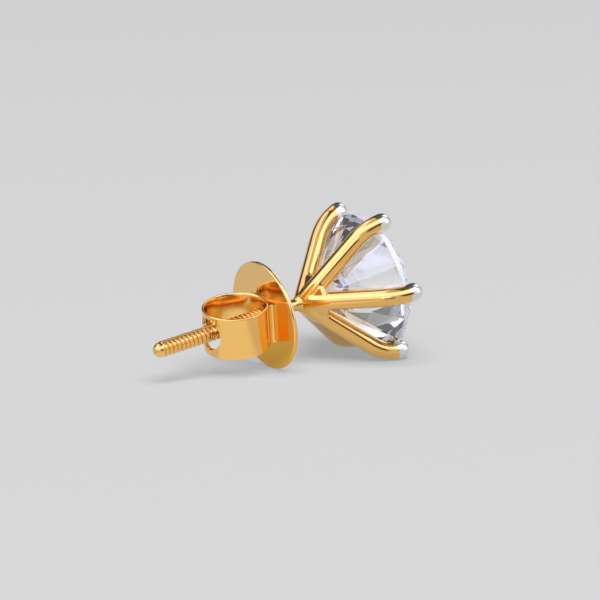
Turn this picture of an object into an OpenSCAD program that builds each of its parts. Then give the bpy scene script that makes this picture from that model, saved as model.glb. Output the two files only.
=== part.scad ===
// Solitaire stud earring: a round brilliant in a six-prong crown, soldered to a
// threaded post, with a screw back made of a disc and a loop of flat strip.
// The stud lies on its side, on the rim of the disc and its two lowest prongs.
// Lengths are in millimetres. +X runs from the post's tip towards the stone, +Z
// is up, and the origin is on the floor below the middle of the stud.

/* [Stone] */
// Diameter of the brilliant at its girdle
stone_d = 7.4; // [6.5:0.1:8]
// Width of the table, as a share of the diameter
table_share = 0.57; // [0.53:0.01:0.62]
// Slope of the crown's main facets, in degrees
crown_angle = 34.5; // [32:0.5:36]
// Slope of the pavilion's main facets, in degrees
pavilion_angle = 40.4; // [40:0.2:40.8]
// Thickness of the girdle where it is widest
girdle_t = 0.32; // [0.2:0.02:0.4]

/* [Crown] */
// Thickness of a prong
prong_d = 0.96; // [0.84:0.02:1]
// Thickness of a prong at its tip
prong_tip_d = 0.9; // [0.8:0.02:0.96]
// Slope of a prong's straight leg, measured from the post
leg_angle = 50; // [49:0.5:51]
// Radius of the bend between the leg and the tip
bend_r = 1.86; // [1.5:0.02:2.1]
// How far a prong's middle stands outside the girdle
prong_out = 0.29; // [0.25:0.01:0.35]
// How far the middle of a prong's tip stands above the girdle's top
prong_over = 0.07; // [0:0.01:0.2]
// Height of the girdle's top above the foot of the crown
girdle_h = 4.44; // [4.3:0.01:4.6]
// Distance from the post's axis at which the webs between the prongs end
web_reach = 1.3; // [1:0.05:1.5]
// Thickness of the webs
web_t = 0.6; // [0.4:0.05:0.8]
// Height of the solder fillet between the crown and the neck
fillet_h = 0.12; // [0.1:0.01:0.2]

/* [Post] */
// Length of the post below the foot of the crown
post_l = 8.7; // [8:0.1:10]
// Diameter of the smooth neck that passes through the lobe
neck_d = 0.6; // [0.55:0.01:0.65]
// Diameter over the thread
thread_d = 0.84; // [0.8:0.01:0.9]
// Depth of the thread's grooves
thread_depth = 0.08; // [0.05:0.01:0.1]
// Distance from one ridge of the thread to the next
thread_pitch = 0.27; // [0.25:0.01:0.3]

/* [Screw back] */
// Diameter of the disc
disc_d = 5.7; // [5.4:0.1:6]
// Thickness of the disc
disc_t = 0.22; // [0.18:0.02:0.3]
// Gap between the crown's foot and the disc, where the lobe goes
lobe_gap = 1.88; // [1.8:0.02:2]
// Outer diameter of the loop
loop_d = 3.4; // [3.2:0.1:3.6]
// Thickness of the loop's strip
strip_t = 0.2; // [0.16:0.02:0.24]
// Width of the loop's strip
strip_w = 2.26; // [2:0.02:2.4]
// Diameter of the hole where the post leaves the loop
exit_d = 1.7; // [1.5:0.05:1.8]
// How far the loop is turned round the post from upright, in degrees
loop_turn = 10; // [0:1:20]
// How far the loop sits below the post's axis
loop_drop = 0.07; // [0:0.01:0.1]
// Clearance between the thread and the holes that it runs in
bore_clearance = 0.03; // [0.02:0.01:0.06]

/* [Hidden] */
$fn = 64;

gold = [0.92, 0.71, 0.36];
clear_stone = [0.88, 0.90, 0.94];

// The stone's planes, heights above the foot of the crown
stone_r = stone_d / 2;
table_r = stone_r * table_share;
girdle_low = girdle_h - girdle_t;
table_z = girdle_h + (stone_r - table_r) * tan(crown_angle);
culet_z = girdle_low - stone_r * tan(pavilion_angle);
eighth = 45;
half_step = eighth / 4;
// Where two neighbouring main facets of the crown meet the star between them
star_r = (table_r * cos(eighth / 2) + stone_r) / 2;
star_z = girdle_h + (stone_r - star_r * cos(eighth / 2)) * tan(crown_angle);
upper_angle = atan((star_z - girdle_h) / ((stone_r - star_r) * cos(half_step)));
// Where two neighbouring main facets of the pavilion meet its lower halves
lower_share = 0.22;
lower_r = stone_r * lower_share;
lower_z = culet_z + lower_r * cos(eighth / 2) * tan(pavilion_angle);
lower_angle = atan((girdle_low - lower_z) / ((stone_r - lower_r) * cos(half_step)));

// The prong's middle line: a straight leg, a bend, and a tip along the post
prong_count = 6;
prong_r = prong_d / 2;
tip_r = prong_tip_d / 2;
tip_at_r = stone_r + prong_out;
tip_at_z = girdle_h + prong_over;
bend_at_r = tip_at_r - bend_r * (1 - cos(leg_angle));
bend_at_z = tip_at_z - bend_r * sin(leg_angle);
root_at_r = 0.12;
root_at_z = bend_at_z - (bend_at_r - root_at_r) / tan(leg_angle);
first_prong = 30;
prong_sides = 12;
prong_twist = 0.83;
bend_steps = 7;
dome_steps = 4;
web_sides = 36;
web_edge_sides = 18;
bed_sides = 36;
seat_gap = 0.03;
fillet_low_r = neck_d / 2 + 0.03;
fillet_high_r = neck_d / 2 + 0.16;
fillet_high_z = 0.08;

// The post, below the foot of the crown
thread_r = thread_d / 2;
thread_root_r = thread_r - thread_depth;
ridge_land = 0.05;
nose_r = thread_r - 0.02;
nose_l = 0.2;
nose_z = -post_l + nose_r;
thread_start = nose_z + nose_l;
thread_end = -lobe_gap + 0.06;
neck_cone = 0.08;
ridge_count = floor((thread_end - thread_start) / thread_pitch);

// The screw back
disc_r = disc_d / 2;
disc_front = -lobe_gap;
disc_rear = disc_front - disc_t;
disc_edge_r = 0.08;
loop_r = loop_d / 2;
solder_overlap = 0.02;
loop_z = disc_rear - loop_r + solder_overlap;
strip_edge_r = 0.06;
foot_w = 1.2;
bore_r = thread_r + bore_clearance;
mouth_r = 0.6;
mouth_depth = 0.1;
beyond = 1;

// How low a point of the lying stud is: z along the post, r towards the floor
function depth(z, r, tilt) = z * sin(tilt) - r * cos(tilt);
function bend_z(a) = tip_at_z - bend_r * sin(a);
function bend_at(a) = tip_at_r - bend_r * (1 - cos(a));
function radius_at(a) = tip_r + (prong_r - tip_r) * a / leg_angle;
low_samples = 40;
function prong_low(tilt) = min([for (i = [0:low_samples])
    let (a = leg_angle * i / low_samples)
    depth(bend_z(a), bend_at(a) * cos(first_prong), tilt) - radius_at(a)]);
function disc_low(tilt) =
    depth(disc_rear + disc_edge_r, disc_r - disc_edge_r, tilt) - disc_edge_r;
// Halves the range of tilts until the disc and the prongs are level
function level(low, high, steps) =
    steps == 0 ? (low + high) / 2 :
    let (mid = (low + high) / 2)
    prong_low(mid) < disc_low(mid) ? level(mid, high, steps - 1) : level(low, mid, steps - 1);
steepest = 30;
halvings = 30;
tilt = level(0, steepest, halvings);
lift = -disc_low(tilt);
front_x = table_z * cos(tilt) + table_r * sin(tilt);
rear_x = nose_z * cos(tilt) - nose_r;
shift = -(front_x + rear_x) / 2;

// Lays a piece that is drawn along its own +Z down on the floor
module lying() {
    translate([shift, 0, lift]) rotate([0, 90 - tilt, 0]) children();
}

// The rings of a prong: [height, distance from the axis, slope, radius]
function root_dome() = [for (i = [1:dome_steps - 1])
    let (a = 90 * i / dome_steps)
    [root_at_z - prong_r * cos(a) * cos(leg_angle),
     root_at_r - prong_r * cos(a) * sin(leg_angle), leg_angle, prong_r * sin(a)]];
function bend_rings() = [for (i = [0:bend_steps])
    let (a = leg_angle * (1 - i / bend_steps))
    [bend_z(a), bend_at(a), a, radius_at(a)]];
function tip_dome() = [for (i = [1:dome_steps - 1])
    let (a = 90 * i / dome_steps)
    [tip_at_z + tip_r * sin(a), tip_at_r, 0, tip_r * cos(a)]];
function ring(s) = [for (j = [0:prong_sides - 1])
    let (a = 360 * (j + prong_twist) / prong_sides, out = s[3] * cos(a))
    [s[1] + out * cos(s[2]), s[3] * sin(a), s[0] - out * sin(s[2])]];

module prong() {
    rings = concat(root_dome(), [[root_at_z, root_at_r, leg_angle, prong_r]],
                   bend_rings(), tip_dome());
    n = len(rings);
    m = prong_sides;
    points = concat(
        [for (s = rings) each ring(s)],
        [[root_at_r - prong_r * sin(leg_angle), 0, root_at_z - prong_r * cos(leg_angle)]],
        [[tip_at_r, 0, tip_at_z + tip_r]]);
    sides = [for (i = [0:n - 2], j = [0:m - 1])
        let (k = (j + 1) % m)
        each [[i * m + j, (i + 1) * m + j, (i + 1) * m + k], [i * m + j, (i + 1) * m + k, i * m + k]]];
    root = [for (j = [0:m - 1]) [n * m, j, (j + 1) % m]];
    tip = [for (j = [0:m - 1]) [n * m + 1, (n - 1) * m + (j + 1) % m, (n - 1) * m + j]];
    polyhedron(points, concat(sides, root, tip));
}

// A shallow cup that joins the prongs near the post
module web() {
    end_z = root_at_z + (web_reach - root_at_r) / tan(leg_angle);
    across = web_t / 2 * [cos(leg_angle), -sin(leg_angle)];
    rotate_extrude($fn = web_sides) {
        polygon([[0, root_at_z], [root_at_r, root_at_z] + across, [web_reach, end_z] + across,
                 [web_reach, end_z] - across, [0, root_at_z + web_t / 2 / sin(leg_angle)]]);
        translate([web_reach, end_z]) circle(web_t / 2, $fn = web_edge_sides);
    }
}

// The solder that flares from the neck to the prongs' roots
module fillet() {
    rotate_extrude($fn = web_sides) polygon([
        [0, -fillet_h], [fillet_low_r, -fillet_h], [fillet_high_r, fillet_high_z],
        [fillet_high_r, root_at_z - prong_r / 4], [0, root_at_z]]);
}

// The bed that is cut into the prongs so that the stone lies clear of them
module stone_bed() {
    side = stone_r + seat_gap;
    rise = seat_gap / cos(crown_angle);
    drop = seat_gap / cos(pavilion_angle);
    rotate_extrude($fn = bed_sides) polygon([
        [0, culet_z - drop], [side, girdle_low - drop + seat_gap * tan(pavilion_angle)],
        [side, girdle_h + rise - seat_gap * tan(crown_angle)], [table_r, table_z + rise],
        [0, table_z + rise]]);
}

// Prongs, webs and fillet, with the stone's bed cut out, at the crown's full height
module crown() {
    resize([0, 0, fillet_h + tip_at_z + tip_r]) difference() {
        union() {
            web();
            fillet();
            for (i = [0:prong_count - 1])
                rotate([0, 0, first_prong + i * 360 / prong_count]) prong();
        }
        stone_bed();
    }
}

// The smooth neck, the thread's ridges and the rounded nose, as one turned piece
module post() {
    flank = (thread_pitch - 2 * ridge_land) / 2;
    ridges = [for (i = [0:ridge_count - 1])
        let (z = thread_start + i * thread_pitch)
        each [[thread_root_r, z + flank / 2], [thread_root_r, z + flank / 2 + ridge_land],
              [thread_r, z + flank * 3 / 2 + ridge_land], [thread_r, z + flank * 3 / 2 + 2 * ridge_land]]];
    rotate_extrude() {
        polygon(concat(
            [[0, nose_z], [nose_r, nose_z], [nose_r, nose_z + nose_l]], ridges,
            [[neck_d / 2, thread_end + neck_cone], [neck_d / 2, root_at_z], [0, root_at_z]]));
        intersection() {
            translate([0, nose_z]) circle(nose_r);
            translate([0, -post_l]) square([thread_r, nose_r]);
        }
    }
}

module setting() color(gold) lying() {
    crown();
    post();
}

// A point of the stone: eighths of a turn round it, distance from its axis, height
function at(turn, r, z) = [r * cos(turn * eighth), r * sin(turn * eighth), z];

// Table, stars, mains and halves of a round brilliant, with a scalloped girdle
module brilliant() {
    steps = [0:7];
    dip_high = girdle_h - stone_r * (1 - cos(half_step)) * tan(upper_angle);
    dip_low = girdle_low + stone_r * (1 - cos(half_step)) * tan(lower_angle);
    points = concat(
        [for (i = steps) at(i, table_r, table_z)],
        [for (i = steps) at(i + 0.5, star_r, star_z)],
        [for (i = [0:31]) at(i / 4, stone_r, i % 2 == 0 ? girdle_h : dip_high)],
        [for (i = [0:31]) at(i / 4, stone_r, i % 2 == 0 ? girdle_low : dip_low)],
        [for (i = steps) at(i + 0.5, lower_r, lower_z)],
        [[0, 0, culet_z]]);
    star = 8;
    high = 16;
    low = 48;
    half = 80;
    culet = 88;
    crown_faces = [for (i = steps)
        let (n = (i + 1) % 8, before = (i + 7) % 8, g = 4 * i)
        each [
            [n, star + i, i],
            [star + i, high + g, star + before, i],
            [high + g + 2, high + g + 1, high + g, star + i],
            [high + (g + 4) % 32, high + g + 3, high + g + 2, star + i]]];
    girdle_faces = [for (i = [0:31])
        let (n = (i + 1) % 32)
        [high + n, low + n, low + i, high + i]];
    pavilion_faces = [for (i = steps)
        let (before = (i + 7) % 8, g = 4 * i)
        each [
            [half + before, low + g, half + i, culet],
            [low + g, low + g + 1, low + g + 2, half + i],
            [low + g + 2, low + g + 3, low + (g + 4) % 32, half + i]]];
    polyhedron(points, concat([[for (i = [7:-1:0]) i]], crown_faces,
                              girdle_faces, pavilion_faces));
}

module stone() color(clear_stone) lying() brilliant();

// A tube bent from flat strip, with rounded edges, drawn round its own axis
module strip_loop() {
    flat = strip_t - 2 * strip_edge_r;
    rotate_extrude() translate([loop_r - strip_t, 0]) {
        translate([strip_edge_r, -strip_w / 2]) square([flat, strip_w]);
        translate([0, -strip_w / 2 + strip_edge_r]) square([strip_t, strip_w - 2 * strip_edge_r]);
        for (x = [strip_edge_r, strip_t - strip_edge_r], s = [-1, 1])
            translate([x, s * (strip_w / 2 - strip_edge_r)]) circle(strip_edge_r);
    }
}

module disc() {
    translate([0, 0, disc_rear]) rotate_extrude() {
        square([disc_r - disc_edge_r, disc_t]);
        translate([0, disc_edge_r]) square([disc_r, disc_t - 2 * disc_edge_r]);
        for (z = [disc_edge_r, disc_t - disc_edge_r])
            translate([disc_r - disc_edge_r, z]) circle(disc_edge_r);
    }
}

// Disc and loop in one, with the post's bore, its flared mouth and the exit hole
module screw_back() color(gold) lying() {
    difference() {
        union() {
            disc();
            translate([loop_drop, 0, loop_z]) rotate([0, 0, loop_turn]) {
                rotate([0, 90, 0]) strip_loop();
                difference() {
                    translate([-strip_w / 2 + strip_edge_r, -foot_w / 2, 0])
                        cube([strip_w - 2 * strip_edge_r, foot_w, loop_r]);
                    rotate([0, 90, 0])
                        cylinder(r = loop_r - strip_t / 2, h = strip_w, center = true);
                }
            }
        }
        translate([0, 0, loop_z]) cylinder(r = bore_r, h = loop_r + disc_t + beyond);
        translate([0, 0, disc_front - mouth_depth])
            cylinder(r1 = bore_r, r2 = 2 * mouth_r - bore_r, h = 2 * mouth_depth);
        translate([0, 0, loop_z - loop_r - beyond]) cylinder(r = exit_d / 2, h = loop_r + beyond);
    }
}

setting();
stone();
screw_back();
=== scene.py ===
import math

import bpy
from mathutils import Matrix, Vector


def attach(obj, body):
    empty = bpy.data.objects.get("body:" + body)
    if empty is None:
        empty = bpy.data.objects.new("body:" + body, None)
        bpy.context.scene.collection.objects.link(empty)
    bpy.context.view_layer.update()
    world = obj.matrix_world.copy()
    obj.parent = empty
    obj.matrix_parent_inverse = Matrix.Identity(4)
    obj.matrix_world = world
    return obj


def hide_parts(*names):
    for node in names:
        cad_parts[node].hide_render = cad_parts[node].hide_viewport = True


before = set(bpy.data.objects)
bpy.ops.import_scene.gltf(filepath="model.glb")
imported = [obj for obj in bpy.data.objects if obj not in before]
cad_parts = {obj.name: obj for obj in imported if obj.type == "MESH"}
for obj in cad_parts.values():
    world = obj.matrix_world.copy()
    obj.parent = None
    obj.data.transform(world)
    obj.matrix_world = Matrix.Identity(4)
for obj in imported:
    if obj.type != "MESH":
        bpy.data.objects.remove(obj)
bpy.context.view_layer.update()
print("loaded the frame")

# Each piece is made upright and in millimetres: the post runs along z, the crown's foot
# is at 0 and the stone is above it. At its end the piece is laid down as the stud lies.
lying = {"tilt": 9.54253, "shift": 1.38931, "lift": 3.14655}  # degrees, then along and up
millimetre = 0.001
mergeWithin = 0.0005  # points closer than this are one


# Working by hand: picking, pulling, turning and joining

def pickOnly(piece):
    bpy.ops.object.select_all(action="DESELECT")
    piece.select_set(True)
    bpy.context.view_layer.objects.active = piece


def addNew(operator, **settings):
    # a new object at its size and place, with nothing else picked
    bpy.ops.object.select_all(action="DESELECT")
    operator(**settings)
    return bpy.context.object


def beginEdit(piece, kind="VERT"):
    pickOnly(piece)
    bpy.ops.object.mode_set(mode="EDIT")
    bpy.ops.mesh.select_mode(type=kind)


def endEdit():
    bpy.ops.object.mode_set(mode="OBJECT")


def pickPoints(piece, wanted):
    # leaves the piece in edit mode with only the wanted points picked
    beginEdit(piece)
    bpy.ops.mesh.select_all(action="DESELECT")
    endEdit()
    for point in piece.data.vertices:
        point.select = wanted(point.co)
    bpy.ops.object.mode_set(mode="EDIT")


def pickEdges(piece, wanted):
    # the same for the edges that have both their points wanted
    beginEdit(piece, "EDGE")
    bpy.ops.mesh.select_all(action="DESELECT")
    endEdit()
    points = piece.data.vertices
    for edge in piece.data.edges:
        edge.select = all(wanted(points[i].co) for i in edge.vertices)
    bpy.ops.object.mode_set(mode="EDIT")


def closeUp(within=mergeWithin):
    # ends the edit with doubles merged and every face turned outwards
    bpy.ops.mesh.select_all(action="SELECT")
    if within:
        bpy.ops.mesh.remove_doubles(threshold=within)
    bpy.ops.mesh.normals_make_consistent(inside=False)
    endEdit()


def applyPlace():
    bpy.ops.object.transform_apply(location=True, rotation=True, scale=True)


def applyModifier(piece, kind, **settings):
    pickOnly(piece)
    modifier = piece.modifiers.new(kind.lower(), kind)
    for key, value in settings.items():
        setattr(modifier, key, value)
    bpy.ops.object.modifier_apply(modifier=modifier.name)


def remove(piece):
    pickOnly(piece)
    bpy.ops.object.delete()


def combine(piece, other, operation):
    applyModifier(piece, "BOOLEAN", operation=operation, solver="EXACT", object=other)
    remove(other)
    pickOnly(piece)


def joinTo(piece, *others):
    pickOnly(piece)
    for other in others:
        other.select_set(True)
    bpy.ops.object.join()


def smooth(piece, sharpFrom):
    pickOnly(piece)
    bpy.ops.object.shade_smooth_by_angle(angle=math.radians(sharpFrom), keep_sharp_edges=False)


def layDown(piece):
    # from upright and millimetres to where the stud lies, in metres
    pickOnly(piece)
    piece.scale = (millimetre,) * 3
    piece.rotation_euler = (0, math.radians(90 - lying["tilt"]), 0)
    piece.location = (lying["shift"] * millimetre, 0, lying["lift"] * millimetre)
    applyPlace()


def arc(middle, radius, start, stop, steps):
    # points of an arc in the plane of x and z, angles from the x axis
    turns = [start + (stop - start) * i / steps for i in range(steps + 1)]
    return [(middle[0] + radius * math.cos(math.radians(a)), 0,
             middle[1] + radius * math.sin(math.radians(a))) for a in turns]


def drawLine(name, points):
    # a profile drawn by pulling one point out again and again
    piece = addNew(bpy.ops.mesh.primitive_plane_add, size=1)
    piece.name = name
    beginEdit(piece)
    bpy.ops.mesh.select_all(action="SELECT")
    bpy.ops.mesh.merge(type="CENTER")
    bpy.ops.transform.translate(value=points[0])
    for here, there in zip(points, points[1:]):
        step = Vector(there) - Vector(here)
        bpy.ops.mesh.extrude_region_move(TRANSFORM_OT_translate={"value": step})
    endEdit()
    return piece


def turnProfile(piece, steps):
    # spins a profile all the way round the post's axis
    beginEdit(piece)
    bpy.ops.mesh.select_all(action="SELECT")
    bpy.ops.mesh.spin(steps=steps, angle=math.tau, center=(0, 0, 0), axis=(0, 0, 1))
    closeUp()


def tanOf(degrees):
    return math.tan(math.radians(degrees))


def slopeOf(rise, run):
    return math.degrees(math.atan(rise / run))


# Finishes

class Nodes:
    # a short way of adding and joining the nodes of one material

    def __init__(self, name):
        self.material = bpy.data.materials.new(name)
        self.material.use_nodes = True
        self.tree = self.material.node_tree
        self.shader = self.tree.nodes["Principled BSDF"]

    def give(self, node, values):
        # joins what comes from a node, and sets a plain value on the socket itself
        for key, value in values.items():
            if isinstance(value, bpy.types.NodeSocket):
                self.tree.links.new(value, node.inputs[key])
            else:
                node.inputs[key].default_value = value

    def add(self, kind, values=None, **settings):
        node = self.tree.nodes.new(kind)
        for key, value in settings.items():
            setattr(node, key, value)
        self.give(node, values or {})
        return node

    def place(self, output="Object"):
        return self.add("ShaderNodeTexCoord").outputs[output]

    def reckon(self, operation, *values):
        node = self.add("ShaderNodeMath", dict(enumerate(values)), operation=operation)
        return node.outputs[0]

    def measure(self, operation, *values):
        # one number from two places or directions
        node = self.add("ShaderNodeVectorMath", dict(enumerate(values)), operation=operation)
        return node.outputs["Value"]

    def noise(self, place, scale, detail, roughness=0.5):
        values = {"Vector": place, "Scale": scale, "Detail": detail, "Roughness": roughness}
        return self.add("ShaderNodeTexNoise", values).outputs["Fac"]

    def spread(self, value, start=0, stop=1, low=0, high=1, ease="LINEAR"):
        # takes a value from one range to another
        values = {"Value": value, "From Min": start, "From Max": stop,
                  "To Min": low, "To Max": high}
        return self.add("ShaderNodeMapRange", values, interpolation_type=ease).outputs[0]

    def blend(self, share, first, second):
        # a colour between two, which are colours of three numbers or come from nodes
        values = {0: share}
        for key, colour in ((6, first), (7, second)):
            values[key] = (*colour, 1) if isinstance(colour, (tuple, list)) else colour
        return self.add("ShaderNodeMix", values, data_type="RGBA").outputs[2]


def alongPost(nodes, place):
    # height above the crown's foot along the post, in millimetres
    tilt = math.radians(lying["tilt"])
    along = (math.cos(tilt), 0, math.sin(tilt))
    foot = (lying["shift"] * along[0] + lying["lift"] * along[2]) * millimetre
    height = nodes.reckon("SUBTRACT", nodes.measure("DOT_PRODUCT", place, along), foot)
    return nodes.reckon("MULTIPLY", height, 1 / millimetre)


# Marks that every gold surface has: cloudy patches of colour and polish, and fine scratches
goldMarks = {
    "patchScale": 900, "patchDetail": 3.0, "patchGrain": 0.55, "patchFrom": 0.3, "patchTo": 0.7,
    "scratchScale": 5200, "scratchStretch": (1, 1, 0.12), "scratchDetail": 2.0,
    "scratchGrain": 0.6, "scratchDepth": 0.10, "scratchHeight": 0.0000012,
}
goldLook = {"colour": (0.95, 0.562, 0.15), "deepColour": (0.93, 0.527, 0.125),
            "roughness": (0.05, 0.11), "coat": 0.8, "coatRoughness": 0.08}
# The disc's gold is a paler copy of the polished gold: painted light for the paler floor its face
# reflects.
discLook = {"colour": (0.93, 0.62, 0.25), "deepColour": (0.91, 0.58, 0.20),
            # its lowest part turns a deeper orange: a painted reflection of the floor that the
            # gold's own light warms
            "paintedReflectionColour": (1.0, 0.53, 0.06), "lowFrom": 0.0027, "lowTo": 0.0015,  # metres up
            "roughness": (0.08, 0.13)}
# The post's gold is a darker copy of the polished gold: painted shade that offsets the pale card's
# light in its reflections.
postLook = {"colour": (0.86, 0.53, 0.16), "deepColour": (0.84, 0.50, 0.14),
            "roughness": (0.05, 0.11)}
dullLook = {"colour": (0.95, 0.60, 0.19), "deepColour": (0.93, 0.56, 0.16),
            "roughness": (0.13, 0.19)}
platingLook = {"colour": (0.82, 0.80, 0.74), "from": 4.17, "blendOver": 0.03}  # up the post


def polishedGold(name, look, platedTips=False):
    marks = goldMarks
    nodes = Nodes(name)
    place = nodes.place()
    patches = nodes.noise(place, marks["patchScale"], marks["patchDetail"], marks["patchGrain"])
    colour = nodes.blend(patches, look["colour"], look["deepColour"])
    # painted reflection: low down the piece turns deeper orange, as the floor warmed by the gold's
    # own light would show in it
    if "paintedReflectionColour" in look:
        height = nodes.add("ShaderNodeSeparateXYZ", {0: place}).outputs[2]
        low = nodes.spread(height, look["lowFrom"], look["lowTo"])
        colour = nodes.blend(low, colour, look["paintedReflectionColour"])
    if platedTips:
        low = platingLook["from"]
        plated = nodes.spread(alongPost(nodes, place), low, low + platingLook["blendOver"])
        colour = nodes.blend(plated, colour, platingLook["colour"])
    stretched = nodes.add("ShaderNodeMapping", {"Vector": place, "Scale": marks["scratchStretch"]})
    scratches = nodes.noise(stretched.outputs[0], marks["scratchScale"], marks["scratchDetail"],
                            marks["scratchGrain"])
    bump = nodes.add("ShaderNodeBump", {"Strength": marks["scratchDepth"],
                                        "Distance": marks["scratchHeight"], "Height": scratches})
    rough = nodes.spread(patches, marks["patchFrom"], marks["patchTo"], *look["roughness"])
    nodes.give(nodes.shader, {
        "Base Color": colour, "Metallic": 1, "Roughness": rough, "Normal": bump.outputs[0],
        "Coat Weight": look.get("coat", 0), "Coat Roughness": look.get("coatRoughness", 0),
    })
    print("mixed", name)
    return nodes.material


gold = polishedGold("yellowGold", goldLook)
discGold = polishedGold("yellowGoldDisc", discLook)
postGold = polishedGold("yellowGoldPost", postLook)
dullGold = polishedGold("yellowGoldInside", dullLook)
tippedGold = polishedGold("yellowGoldWhiteTips", goldLook, platedTips=True)


# The crown: six wire prongs, the cup between them, and the solder

crownMade = {
    "turns": (30, 90, 150, 210, 270, 330), "bowedTurn": 150, "rootOut": 0.12,
    "wire": 0.96, "wireAtTip": 0.90, "cap": 0.98, "capHeight": 0.55, "capLength": 0.55,
    # the middle line of a prong: a straight leg, then a bend that ends at the tip
    "evenBend": {"slope": 50, "endSlope": 0, "radius": 1.86, "spread": 1.0,
                 "tipOut": 3.96, "tipHeight": 4.51},
    "bowedBend": {"slope": 49.6, "endSlope": 11.4, "radius": 2.41, "spread": 1.5,
                  "tipOut": 4.0, "tipHeight": 4.50},
    "cupReach": 1.03, "cupInside": -0.04, "cupOutside": 0.34, "cupFoot": 0.2,
    "sides": 48, "legSteps": 6, "bendSteps": 22, "stepParts": 8,
    "domeSteps": 8, "domeStart": 4, "domeSweep": 86, "cupSteps": 96, "cupRimSteps": 14,
    "voxel": 0.042, "softenBy": 0.5, "softenAll": 4, "softenFoot": 16,
    "softBelow": 1.5, "softNoneAbove": 2.3, "sharpFrom": 40,
}


def middleLine(bend):
    # points out from the axis, their heights and the slope at each, from root to tip
    made = crownMade
    start, end = math.radians(bend["slope"]), math.radians(bend["endSlope"])
    bendLength = bend["radius"] * (start - end) * bend["spread"]
    parts = made["stepParts"]
    steps = made["bendSteps"] * parts
    out, height, line = 0, 0, [(0, 0, start)]
    for i in range(1, steps + 1):
        middle = start - (start - end) * ((i - 0.5) / steps) ** bend["spread"]
        out += math.sin(middle) * bendLength / steps
        height += math.cos(middle) * bendLength / steps
        if i % parts == 0:
            line.append((out, height, start - (start - end) * (i / steps) ** bend["spread"]))
    bendOut, bendHeight = bend["tipOut"] - out, bend["tipHeight"] - height
    legLength = (bendOut - made["rootOut"]) / math.sin(start)
    rootHeight = bendHeight - legLength * math.cos(start)
    leg = [(made["rootOut"] + legLength * i / made["legSteps"] * math.sin(start),
            rootHeight + legLength * i / made["legSteps"] * math.cos(start), start)
           for i in range(made["legSteps"])]
    return leg + [(bendOut + o, bendHeight + h, slope) for o, h, slope in line]


def prongRings(bend):
    # middle, slope and radius of the wire from its round root to its round cap
    made = crownMade
    line = middleLine(bend)
    steps, sweep = made["domeSteps"], made["domeSweep"]
    rootRadius, tipRadius, capRadius = made["wire"] / 2, made["wireAtTip"] / 2, made["cap"] / 2
    out, height, slope = line[0]
    rings = []
    for i in range(steps):
        a = math.radians(made["domeStart"] + sweep * i / steps)
        back = rootRadius * math.cos(a)
        rings.append((out - back * math.sin(slope), height - back * math.cos(slope), slope,
                      rootRadius * math.sin(a)))
    tipOut, tipHeight, tipSlope = line[-1]
    for i, (out, height, slope) in enumerate(line):
        left = math.hypot(out - tipOut, height - tipHeight)
        near = max(0, 1 - left / made["capLength"])
        swell = (capRadius - tipRadius) * near * near * (3 - 2 * near)
        wire = rootRadius + (tipRadius - rootRadius) * i / (len(line) - 1)
        rings.append((out, height, slope, wire + swell))
    for i in range(1, steps + 1):
        a = math.radians(sweep * i / steps)
        rise = made["capHeight"] * math.sin(a)
        rings.append((tipOut + rise * math.sin(tipSlope), tipHeight + rise * math.cos(tipSlope),
                      tipSlope, capRadius * math.cos(a)))
    return rings


def makeProng(bend):
    rings = prongRings(bend)
    out, height, slope, radius = rings[0]
    prong = addNew(bpy.ops.mesh.primitive_circle_add, vertices=crownMade["sides"],
                   radius=radius, fill_type="TRIFAN", location=(out, 0, height),
                   rotation=(0, slope, 0))
    applyPlace()
    beginEdit(prong)
    bpy.ops.mesh.select_all(action="SELECT")
    for before, after in zip(rings, rings[1:]):
        move = (after[0] - before[0], 0, after[1] - before[1])
        middle = (after[0], 0, after[1])
        bpy.ops.mesh.extrude_region_move(TRANSFORM_OT_translate={"value": move})
        if after[2] != before[2]:
            # with no window a turn goes the other way, so its sign is turned too
            bpy.ops.transform.rotate(value=before[2] - after[2], orient_axis="Y",
                                     center_override=middle)
        grow = after[3] / before[3]
        bpy.ops.transform.resize(value=(grow, grow, grow), center_override=middle)
    closeUp(within=0)
    return prong


def makeCup():
    # the cone between the prongs' feet, a little proud of the middle of their wire
    made = crownMade
    bend = made["evenBend"]
    slope = math.radians(bend["slope"])
    rootOut, rootHeight = made["rootOut"], middleLine(bend)[0][1]
    inside, outside = made["cupInside"], made["cupOutside"]
    across = (math.cos(slope), -math.sin(slope))
    low = (rootOut + outside * across[0], 0, rootHeight + outside * across[1])
    shift = (outside - inside) / 2
    endHeight = rootHeight + (made["cupReach"] - rootOut) / math.tan(slope)
    end = (made["cupReach"] + shift * across[0], endHeight + shift * across[1])
    rim = arc(end, (inside + outside) / 2, bend["slope"] - 90, bend["slope"] + 90,
              made["cupRimSteps"])
    hollow = rootHeight + inside / math.sin(slope) - rootOut / math.tan(slope)
    cup = drawLine("cup", [(0, 0, rootHeight - made["cupFoot"]), low] + rim + [(0, 0, hollow)])
    turnProfile(cup, made["cupSteps"])
    return cup


def soften(piece, turns, group=""):
    applyModifier(piece, "SMOOTH", factor=crownMade["softenBy"], iterations=turns,
                  vertex_group=group)


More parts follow.
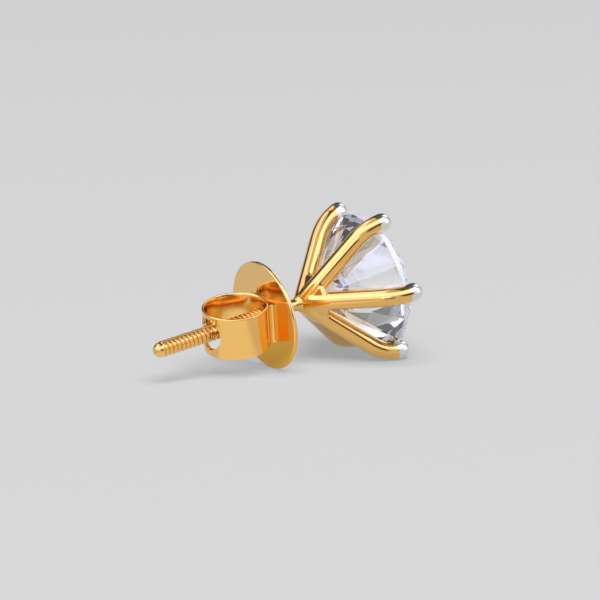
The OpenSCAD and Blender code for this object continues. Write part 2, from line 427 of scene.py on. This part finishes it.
def makeCrown(bed):
    made = crownMade
    crown = makeCup()
    crown.name = "crown"
    evenProng, bowedProng = makeProng(made["evenBend"]), makeProng(made["bowedBend"])
    for turn in made["turns"]:
        pickOnly(bowedProng if turn == made["bowedTurn"] else evenProng)
        bpy.ops.object.duplicate()
        copy = bpy.context.object
        copy.rotation_euler[2] = math.radians(turn)
        applyPlace()
        joinTo(crown, copy)
    remove(evenProng)
    remove(bowedProng)
    # one skin over the wires and the cup, with the solder's soft corners at the foot
    applyModifier(crown, "REMESH", mode="VOXEL", voxel_size=made["voxel"])
    foot = crown.vertex_groups.new(name="foot")
    for point in crown.data.vertices:
        share = (made["softNoneAbove"] - point.co.z) / (made["softNoneAbove"] - made["softBelow"])
        if share > 0:
            foot.add([point.index], min(1, share), "REPLACE")
    soften(crown, made["softenAll"])
    soften(crown, made["softenFoot"], foot.name)
    crown.vertex_groups.clear()
    combine(crown, bed, "DIFFERENCE")
    smooth(crown, made["sharpFrom"])
    layDown(crown)
    return crown


# The post: nose, thread, neck and solder, drawn as one

postMade = {
    "length": 8.7, "noseRadius": 0.385, "noseRoom": 0.09, "noseSteps": 10,
    "threadRadius": 0.42, "grooveDepth": 0.11, "pitch": 0.243, "threadEnd": -1.90,
    "ridgeShare": 0.20, "flankShare": 0.27, "sides": 48, "stepsPerTurn": 24,
    "noseGap": 0.06, "neckGap": 0.10,  # left open at the thread's ends, then bridged
    # out and height of the points of the smooth neck and of the solder, up into the crown
    "neckLine": [(0.30, -0.30), (0.31, -0.16), (0.34, -0.08), (0.39, 0), (0.47, 0.12),
                 (0.2, 0.3), (0, 0.3)],
    "pointWithin": 0.002, "endWithin": 0.0006, "sharpFrom": 50,
}


def makeThread(start, turns):
    # one side of a ring is pulled out: turned along the post, it makes the ridge
    made = postMade
    sides = made["sides"]
    root = made["threadRadius"] - made["grooveDepth"]
    thread = addNew(bpy.ops.mesh.primitive_circle_add, vertices=sides, radius=root,
                    fill_type="NOTHING", location=(0, 0, start))
    applyPlace()
    for i in range(sides):
        away = 0.5 - abs((i / sides + 0.5) % 1 - 0.5)  # turns away from the ridge's middle
        rise = min(1, max(0, 1 - (away - made["ridgeShare"] / 2) / made["flankShare"]))
        rise = rise * rise * (3 - 2 * rise)
        if rise > 0:
            a = math.tau * i / sides
            grow = 1 + rise * made["grooveDepth"] / root
            spot = Vector((root * math.cos(a), root * math.sin(a), start))
            pickPoints(thread, lambda co: (co - spot).length < made["pointWithin"])
            bpy.ops.transform.resize(value=(grow, grow, 1), center_override=(0, 0, start))
            endEdit()
    steps = made["stepsPerTurn"] * turns
    applyModifier(thread, "SCREW", screw_offset=made["pitch"] * turns, angle=math.tau * turns,
                  steps=steps, render_steps=steps, use_merge_vertices=False)
    return thread


def makePost():
    made = postMade
    noseMiddle = -made["length"] + made["noseRadius"]
    threadStart = noseMiddle + made["noseRoom"]
    turns = math.floor((made["threadEnd"] - threadStart) / made["pitch"])
    threadStop = threadStart + turns * made["pitch"]
    noseStop, neckStart = threadStart - made["noseGap"], threadStop + made["neckGap"]
    nose = arc((0, noseMiddle), made["noseRadius"], -90, 0, made["noseSteps"])
    post = drawLine("post", nose + [(made["noseRadius"], 0, noseStop)])
    turnProfile(post, made["sides"])
    neckLine = [(out, 0, height) for out, height in made["neckLine"]]
    neck = drawLine("neck", [(neckLine[0][0], 0, neckStart)] + neckLine)
    turnProfile(neck, made["sides"])
    joinTo(post, makeThread(threadStart, turns), neck)
    for ends in ((noseStop, threadStart), (threadStop, neckStart)):
        pickEdges(post, lambda co: any(abs(co.z - end) < made["endWithin"] for end in ends))
        bpy.ops.mesh.bridge_edge_loops()
        endEdit()
    beginEdit(post)
    closeUp()
    smooth(post, made["sharpFrom"])
    layDown(post)
    return post


# The stone: a round brilliant, cut plane by plane

stoneMade = {
    "radius": 3.7, "tableShare": 0.57, "crownSlope": 34.5, "pavilionSlope": 40.4,
    "girdle": 4.44, "girdleLow": 4.12, "lowerShare": 0.22, "mains": 8, "sides": 128,
    "spare": 0.01, "mergeWithin": 0.0002, "bedGap": 0.012,
}
stoneLook = {"tint": (0.965, 0.955, 0.88), "girdleTint": (0.66, 0.65, 0.60), "ior": 2.42,
             "clear": 0.97, "clearAtGirdle": 0.45, "girdleFrost": 0.45, "girdleBlend": 0.01,
             "grainScale": 9000, "grainDetail": 2.0}


def clearStone():
    look = stoneLook
    nodes = Nodes("clearStone")
    place = nodes.place()
    height = alongPost(nodes, place)
    low, high = stoneMade["girdleLow"], stoneMade["girdle"]
    above = nodes.spread(height, low, low + look["girdleBlend"])
    below = nodes.spread(height, high, high - look["girdleBlend"])
    band = nodes.reckon("MULTIPLY", above, below)  # 1 on the ground girdle, 0 on the facets
    grain = nodes.noise(place, look["grainScale"], look["grainDetail"])
    frost = nodes.spread(grain, high=look["girdleFrost"])
    nodes.give(nodes.shader, {
        "Roughness": nodes.reckon("MULTIPLY", frost, band), "IOR": look["ior"],
        "Base Color": nodes.blend(band, look["tint"], look["girdleTint"]),
        "Transmission Weight": nodes.spread(band, low=look["clear"], high=look["clearAtGirdle"]),
    })
    print("mixed clearStone")
    return nodes.material


def cutAway(turn, out, height, slope, upwards):
    # one facet: everything outside a plane that leans towards the stone's axis goes
    a = math.radians(turn)
    lean = math.radians(slope)
    normal = (math.sin(lean) * math.cos(a), math.sin(lean) * math.sin(a),
              math.cos(lean) * (1 if upwards else -1))
    point = (out * math.cos(a), out * math.sin(a), height)
    bpy.ops.mesh.select_all(action="SELECT")
    bpy.ops.mesh.bisect(plane_co=point, plane_no=normal, use_fill=True, clear_outer=True)


def makeStone():
    made = stoneMade
    mains = made["mains"]
    step = 360 / mains
    radius, girdle, girdleLow = made["radius"], made["girdle"], made["girdleLow"]
    crownTan, lowTan = tanOf(made["crownSlope"]), tanOf(made["pavilionSlope"])
    cosHalf, cosQuarter = math.cos(math.radians(step / 2)), math.cos(math.radians(step / 4))
    table = radius * made["tableShare"]
    tableHeight = girdle + (radius - table) * crownTan
    culet = girdleLow - radius * lowTan
    starOut = (table * cosHalf + radius) / 2
    starHeight = girdle + (radius - starOut * cosHalf) * crownTan
    upperSlope = slopeOf(starHeight - girdle, (radius - starOut) * cosQuarter)
    starSlope = slopeOf(tableHeight - starHeight, starOut - table * cosHalf)
    lowerOut = radius * made["lowerShare"]
    lowerHeight = culet + lowerOut * cosHalf * lowTan
    lowerSlope = slopeOf(girdleLow - lowerHeight, (radius - lowerOut) * cosQuarter)
    stone = addNew(bpy.ops.mesh.primitive_cylinder_add, vertices=made["sides"], radius=radius,
                   depth=tableHeight - culet + 2 * made["spare"],
                   location=(0, 0, (tableHeight + culet) / 2 - made["spare"]))
    stone.name = "brilliant"
    applyPlace()
    beginEdit(stone)
    for i in range(mains):
        cutAway(step * i, radius, girdle, made["crownSlope"], True)
        cutAway(step * i, radius, girdleLow, made["pavilionSlope"], False)
    for i in range(mains):
        cutAway(step * i + step / 2, table * cosHalf, tableHeight, starSlope, True)
    for i in range(2 * mains):
        turn = step / 2 * i + step / 4
        cutAway(turn, radius * cosQuarter, girdle, upperSlope, True)
        cutAway(turn, radius * cosQuarter, girdleLow, lowerSlope, False)
    closeUp(within=made["mergeWithin"])
    pickOnly(stone)
    bpy.ops.object.shade_flat()
    layDown(stone)
    return stone


def makeBed():
    # the notch that the stone's edge is pressed into: a plain turned copy of the stone
    made = stoneMade
    gap = made["bedGap"]
    side = made["radius"] + gap
    table = made["radius"] * made["tableShare"]
    crownTan, lowTan = tanOf(made["crownSlope"]), tanOf(made["pavilionSlope"])
    culet = made["girdleLow"] - made["radius"] * lowTan - gap / math.cos(math.atan(lowTan))
    top = made["girdle"] + (made["radius"] - table) * crownTan
    top += gap / math.cos(math.atan(crownTan))
    bed = drawLine("bed", [(0, 0, culet), (side, 0, culet + side * lowTan),
                           (side, 0, top - (side - table) * crownTan), (table, 0, top),
                           (0, 0, top)])
    turnProfile(bed, made["sides"])
    return bed


# The screw back: a thin disc and a loop of strip

discMade = {
    "radius": 2.85, "front": -1.88, "thickness": 0.22, "edge": 0.08, "edgeSteps": 6,
    "bore": 0.45, "mouth": 0.60, "mouthDepth": 0.10, "steps": 160, "sharpFrom": 35,
}
loopMade = {
    "radius": 1.70, "strip": 0.20, "width": 2.26, "edge": 0.07, "edgeSteps": 5, "steps": 160,
    "innerEase": (0.12, 0.60), "innerSteps": 10,  # how deep and how long
    "turn": 10, "drop": 0.07, "overlap": 0.02,
    "exit": 0.85, "exitSides": 72, "exitRound": 0.08, "roundSteps": 4, "roundFrom": 50,
    "boreSides": 64, "drillLength": 2, "dullRoom": 0.10, "exitRoom": 0.02, "sharpFrom": 40,
    "solderRound": 0.18, "solderSteps": 12, "solderSunk": 0.01,
}


def makeDisc():
    made = discMade
    radius, bore, edge, front = made["radius"], made["bore"], made["edge"], made["front"]
    rear = front - made["thickness"]
    profile = [(bore, 0, rear)]
    profile += arc((radius - edge, rear + edge), edge, -90, 0, made["edgeSteps"])
    profile += arc((radius - edge, front - edge), edge, 0, 90, made["edgeSteps"])
    profile += [(made["mouth"], 0, front), (bore, 0, front - made["mouthDepth"]), (bore, 0, rear)]
    disc = drawLine("lobeDisc", profile)
    turnProfile(disc, made["steps"])
    smooth(disc, made["sharpFrom"])
    layDown(disc)
    return disc


def makeSolder():
    # fills the wedge between the round strip and the flat disc, hollow on both sides
    made = loopMade
    outer, fillet, steps = made["radius"], made["solderRound"], made["solderSteps"]
    face = outer - made["overlap"]
    side = math.sqrt((outer + fillet) ** 2 - (face - fillet) ** 2)
    touch = math.degrees(math.atan2(face - fillet, side))
    sunk = face + made["solderSunk"]
    line = [(side, 0, sunk)]
    line += arc((side, face - fillet), fillet, 90, 180 + touch, steps)
    line += arc((0, 0), outer - made["strip"] / 2, touch, 180 - touch, 2 * steps)
    line += arc((-side, face - fillet), fillet, -touch, 90, steps)
    line += [(-side, 0, sunk)]
    solder = drawLine("solder", line)
    beginEdit(solder)
    bpy.ops.mesh.select_all(action="SELECT")
    bpy.ops.mesh.edge_face_add()
    depth = made["width"] - 2 * made["edge"]
    bpy.ops.transform.translate(value=(0, -depth / 2, 0))
    bpy.ops.mesh.extrude_region_move(TRANSFORM_OT_translate={"value": (0, depth, 0)})
    closeUp(within=0)
    # drawn across x, and the strip stands across y
    solder.rotation_euler = (0, 0, math.radians(90))
    applyPlace()
    return solder


def stripProfile():
    # rounded outside, and inside eased long and shallow, so the wall swells at its middle
    made = loopMade
    outer, inner = made["radius"], made["radius"] - made["strip"]
    half, edge, steps = made["width"] / 2, made["edge"], made["edgeSteps"]
    deep, long = made["innerEase"]
    ease = []
    for i in range(made["innerSteps"] + 1):
        a = math.radians(90 + 90 * i / made["innerSteps"])
        ease.append((inner + deep + deep * math.cos(a), 0, half - long + long * math.sin(a)))
    profile = arc((outer - edge, half - edge), edge, 0, 90, steps) + ease
    profile += [(out, 0, -height) for out, _, height in reversed(ease)]
    profile += arc((outer - edge, -half + edge), edge, 270, 360, steps)
    return profile + profile[:1]


def drill(piece, radius, height, sides):
    bit = addNew(bpy.ops.mesh.primitive_cylinder_add, vertices=sides, radius=radius,
                 depth=loopMade["drillLength"], location=(0, 0, height))
    combine(piece, bit, "DIFFERENCE")


def dullInside(loop, middle):
    # the faces that look at the loop's own middle keep a duller, unpolished skin
    made = loopMade
    loop.data.materials.append(gold)
    loop.data.materials.append(dullGold)
    hollow = made["radius"] - made["strip"] + made["dullRoom"]
    for face in loop.data.polygons:
        spot = Vector((0, face.center.y, face.center.z - middle))
        inward = spot.length < hollow and face.normal.dot(spot) < 0
        inExit = spot.z < 0 and face.center.xy.length < made["exit"] + made["exitRoom"]
        face.material_index = 1 if inward or inExit else 0


def makeLoop():
    made = loopMade
    outer = made["radius"]
    middle = discMade["front"] - discMade["thickness"] - outer + made["overlap"]
    loop = drawLine("strapLoop", stripProfile())
    turnProfile(loop, made["steps"])
    pickOnly(loop)
    loop.rotation_euler = (0, math.radians(90), 0)
    applyPlace()
    combine(loop, makeSolder(), "UNION")
    loop.rotation_euler = (0, 0, math.radians(made["turn"]))
    loop.location = (made["drop"], 0, middle)
    applyPlace()
    drill(loop, made["exit"], middle - outer, made["exitSides"])
    drill(loop, discMade["bore"], middle + outer, made["boreSides"])
    applyModifier(loop, "BEVEL", width=made["exitRound"], segments=made["roundSteps"],
                  limit_method="ANGLE", angle_limit=math.radians(made["roundFrom"]))
    smooth(loop, made["sharpFrom"])
    applyModifier(loop, "WEIGHTED_NORMAL", keep_sharp=True)
    dullInside(loop, middle)
    layDown(loop)
    return loop


# Putting it together

def dress(piece, body, node, material=None):
    if material:
        piece.data.materials.clear()
        piece.data.materials.append(material)
    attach(piece, body)
    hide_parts(node)
    piece.visible_diffuse = False  # keeps the gold's own glow off the pale floor
    piece.visible_transmission = piece.name == "brilliant"  # and its colour out of the stone
    print("made", piece.name, len(piece.data.vertices), "points")


dress(makeCrown(makeBed()), "stud", "setting", tippedGold)
dress(makePost(), "stud", "setting", postGold)
dress(makeStone(), "stud", "stone", clearStone())
dress(makeDisc(), "back", "screw_back", discGold)
dress(makeLoop(), "back", "screw_back")  # it has its two finishes already


# Floor, light and camera

studio = {"floorSize": 3.0, "floorColour": (0.352, 0.352, 0.272), "floorShine": 0,
          "backdrop": 0.68, "coolLight": (1.0, 1.0, 1.45), "plainLight": (1.0, 1.0, 1.04)}
# Soft windows and dark cards round the stud, each laid over the ones before it: turn from
# the front and height in degrees, brightness, and how soft the sides, foot and top are
panels = [
    {"turn": (140, 200), "height": (18, 42), "light": 0.08, "soft": (10, 4, 4)},
    {"turn": (-200, -136), "height": (16, 37), "light": 0.08, "soft": (10, 4, 4)},
    {"turn": (126, 172), "height": (26, 72), "light": 0.08, "soft": (6, 6, 5)},
    {"turn": (-10, 186), "height": (70, 91), "light": 0.12, "soft": (20, 8, 1)},
    {"turn": (-200, -90), "height": (54, 75), "light": 1.5, "soft": (8, 6, 5), "cool": True},
    {"turn": (-152, -112), "height": (40, 64), "light": 1.1, "soft": (8, 5, 4), "cool": True},
    {"turn": (-118, 48), "height": (26, 63), "light": 1.8, "soft": (8, 24, 5), "cool": True},
    {"turn": (-120, -80), "height": (8, 40), "light": 1.8, "soft": (8, 8, 6), "cool": True},
    {"turn": (-82, -60), "height": (6, 26), "light": 1.35, "soft": (6, 5, 6), "cool": True},
    {"turn": (-64, -40), "height": (0, 24), "light": 1.7, "soft": (6, 3, 8), "cool": True},
    {"turn": (28, 66), "height": (-2, 38), "light": 1.3, "soft": (8, 4, 6), "cool": True},
    {"turn": (-13, 14), "height": (-2, 17), "light": 0.10, "soft": (6, 3, 8)},
    {"turn": (72, 104), "height": (8, 34), "light": 0.5, "soft": (6, 6, 6)},
    {"turn": (88, 118), "height": (38, 60), "light": 1.7, "soft": (5, 5, 5)},
]


class RoomNodes(Nodes):
    # the same short way of adding nodes, for the room round the stud

    def __init__(self, world):
        world.use_nodes = True
        self.tree = world.node_tree


def between(nodes, value, low, high, lowEdge, highEdge):
    # 1 inside the range and 0 outside it, with soft ends
    rise = nodes.spread(value, low - lowEdge / 2, low + lowEdge / 2, ease="SMOOTHSTEP")
    fall = nodes.spread(value, high + highEdge / 2, high - highEdge / 2, ease="SMOOTHSTEP")
    return nodes.reckon("MULTIPLY", rise, fall)


def makeRoom():
    world = bpy.data.worlds.new("room")
    nodes = RoomNodes(world)
    x, y, z = nodes.add("ShaderNodeSeparateXYZ", {0: nodes.place("Generated")}).outputs
    turn = nodes.reckon("DEGREES", nodes.reckon("ARCTAN2", x, nodes.reckon("MULTIPLY", y, -1.0)))
    height = nodes.reckon("DEGREES", nodes.reckon("ARCSINE", z))
    total = [studio["backdrop"] * c for c in studio["plainLight"]]
    for panel in panels:
        sideEdge, lowEdge, highEdge = panel["soft"]
        across = between(nodes, turn, *panel["turn"], sideEdge, sideEdge)
        upright = between(nodes, height, *panel["height"], lowEdge, highEdge)
        tint = studio["coolLight" if panel.get("cool") else "plainLight"]
        total = nodes.blend(nodes.reckon("MULTIPLY", across, upright), total,
                            [panel["light"] * c for c in tint])
    nodes.give(nodes.tree.nodes["Background"], {"Color": total})
    bpy.context.scene.world = world
    bpy.context.scene.view_settings.view_transform = "Standard"


def makeFloor():
    floor = addNew(bpy.ops.mesh.primitive_plane_add, size=studio["floorSize"])
    floor.name = "floor"
    nodes = Nodes("paleFloor")
    nodes.give(nodes.shader, {"Base Color": (*studio["floorColour"], 1),
                              "Specular IOR Level": studio["floorShine"]})
    floor.data.materials.append(nodes.material)


softBox = {"turn": -20, "height": 62, "away": 1.5, "size": 1.25, "watts": 37.4,
           "colour": (0.77, 0.77, 1.0)}


def makeSoftBox():
    # only shades the floor: the windows of the room are what shows in the gold
    turn, height = math.radians(softBox["turn"]), math.radians(softBox["height"])
    place = softBox["away"] * Vector((math.sin(turn) * math.cos(height),
                                      -math.cos(turn) * math.cos(height), math.sin(height)))
    light = addNew(bpy.ops.object.light_add, type="AREA", location=place,
                   rotation=place.to_track_quat("Z", "Y").to_euler())
    light.data.size = softBox["size"]
    light.data.energy = softBox["watts"]
    light.data.color = softBox["colour"]
    light.visible_glossy = False
    light.visible_transmission = False


# Small black cards in front of the stud, seen only as the dark line along the near prong,
# and a round pale one just over the floor, seen only as the light wall of the loop
blackLook = {"colour": (0.01, 0.01, 0.01), "roughness": 1}
blackCards = [
    {"name": "blackCardNear", "place": (-0.0070, -0.0179), "turn": -33, "size": (0.009, 0.0033)},
    {"name": "blackCardFar", "place": (0.0093, -0.0467), "turn": 5, "size": (0.014, 0.0050)},
]
paleCard = {"place": (-0.0057, -0.0032, 0.00002), "radius": 0.0062, "even": 0.0038,
            "lighter": 1.28, "sides": 64}


def stageCard(card, name, material):
    applyPlace()
    card.name = name
    card.data.materials.append(material)
    card.visible_camera = card.visible_diffuse = False
    card.visible_transmission = card.visible_shadow = False


def makeBlackCards():
    black = Nodes("blackCard")
    black.give(black.shader, {"Base Color": (*blackLook["colour"], 1),
                              "Roughness": blackLook["roughness"]})
    for made in blackCards:
        width, height = made["size"]
        card = addNew(bpy.ops.mesh.primitive_plane_add, size=1)
        card.scale = (width, height, 1)
        card.rotation_euler = (math.radians(90), 0, math.radians(made["turn"]))
        card.location = (*made["place"], height / 2)
        stageCard(card, made["name"], black.material)


def makePaleCard():
    made = paleCard
    card = addNew(bpy.ops.mesh.primitive_circle_add, vertices=made["sides"],
                  radius=made["radius"], fill_type="NGON", location=made["place"])
    nodes = Nodes("paleCard")
    away = nodes.measure("DISTANCE", nodes.place(), made["place"])
    share = nodes.spread(away, made["even"], made["radius"], ease="SMOOTHSTEP")
    lighter = [c * made["lighter"] for c in studio["floorColour"]]
    nodes.give(nodes.shader, {"Base Color": nodes.blend(share, lighter, studio["floorColour"]),
                              "Specular IOR Level": studio["floorShine"]})
    stageCard(card, "paleCard", nodes.material)


cameraMade = {"place": (-0.0927219, -0.1446885, 0.0372267),
              "turn": (78.901565, 0.472776, -33.182730), "view": 10, "sensor": 36,
              "nearest": 0.01}


def makeCamera():
    made = cameraMade
    camera = addNew(bpy.ops.object.camera_add, location=made["place"],
                    rotation=[math.radians(a) for a in made["turn"]])
    camera.data.sensor_width = made["sensor"]
    camera.data.lens = made["sensor"] / 2 / tanOf(made["view"] / 2)
    camera.data.clip_start = made["nearest"]
    bpy.context.scene.camera = camera


makeFloor()
makeRoom()
makeSoftBox()
makeBlackCards()
makePaleCard()
print("set the floor, the room, the soft box and the cards")
makeCamera()
print("set the camera")
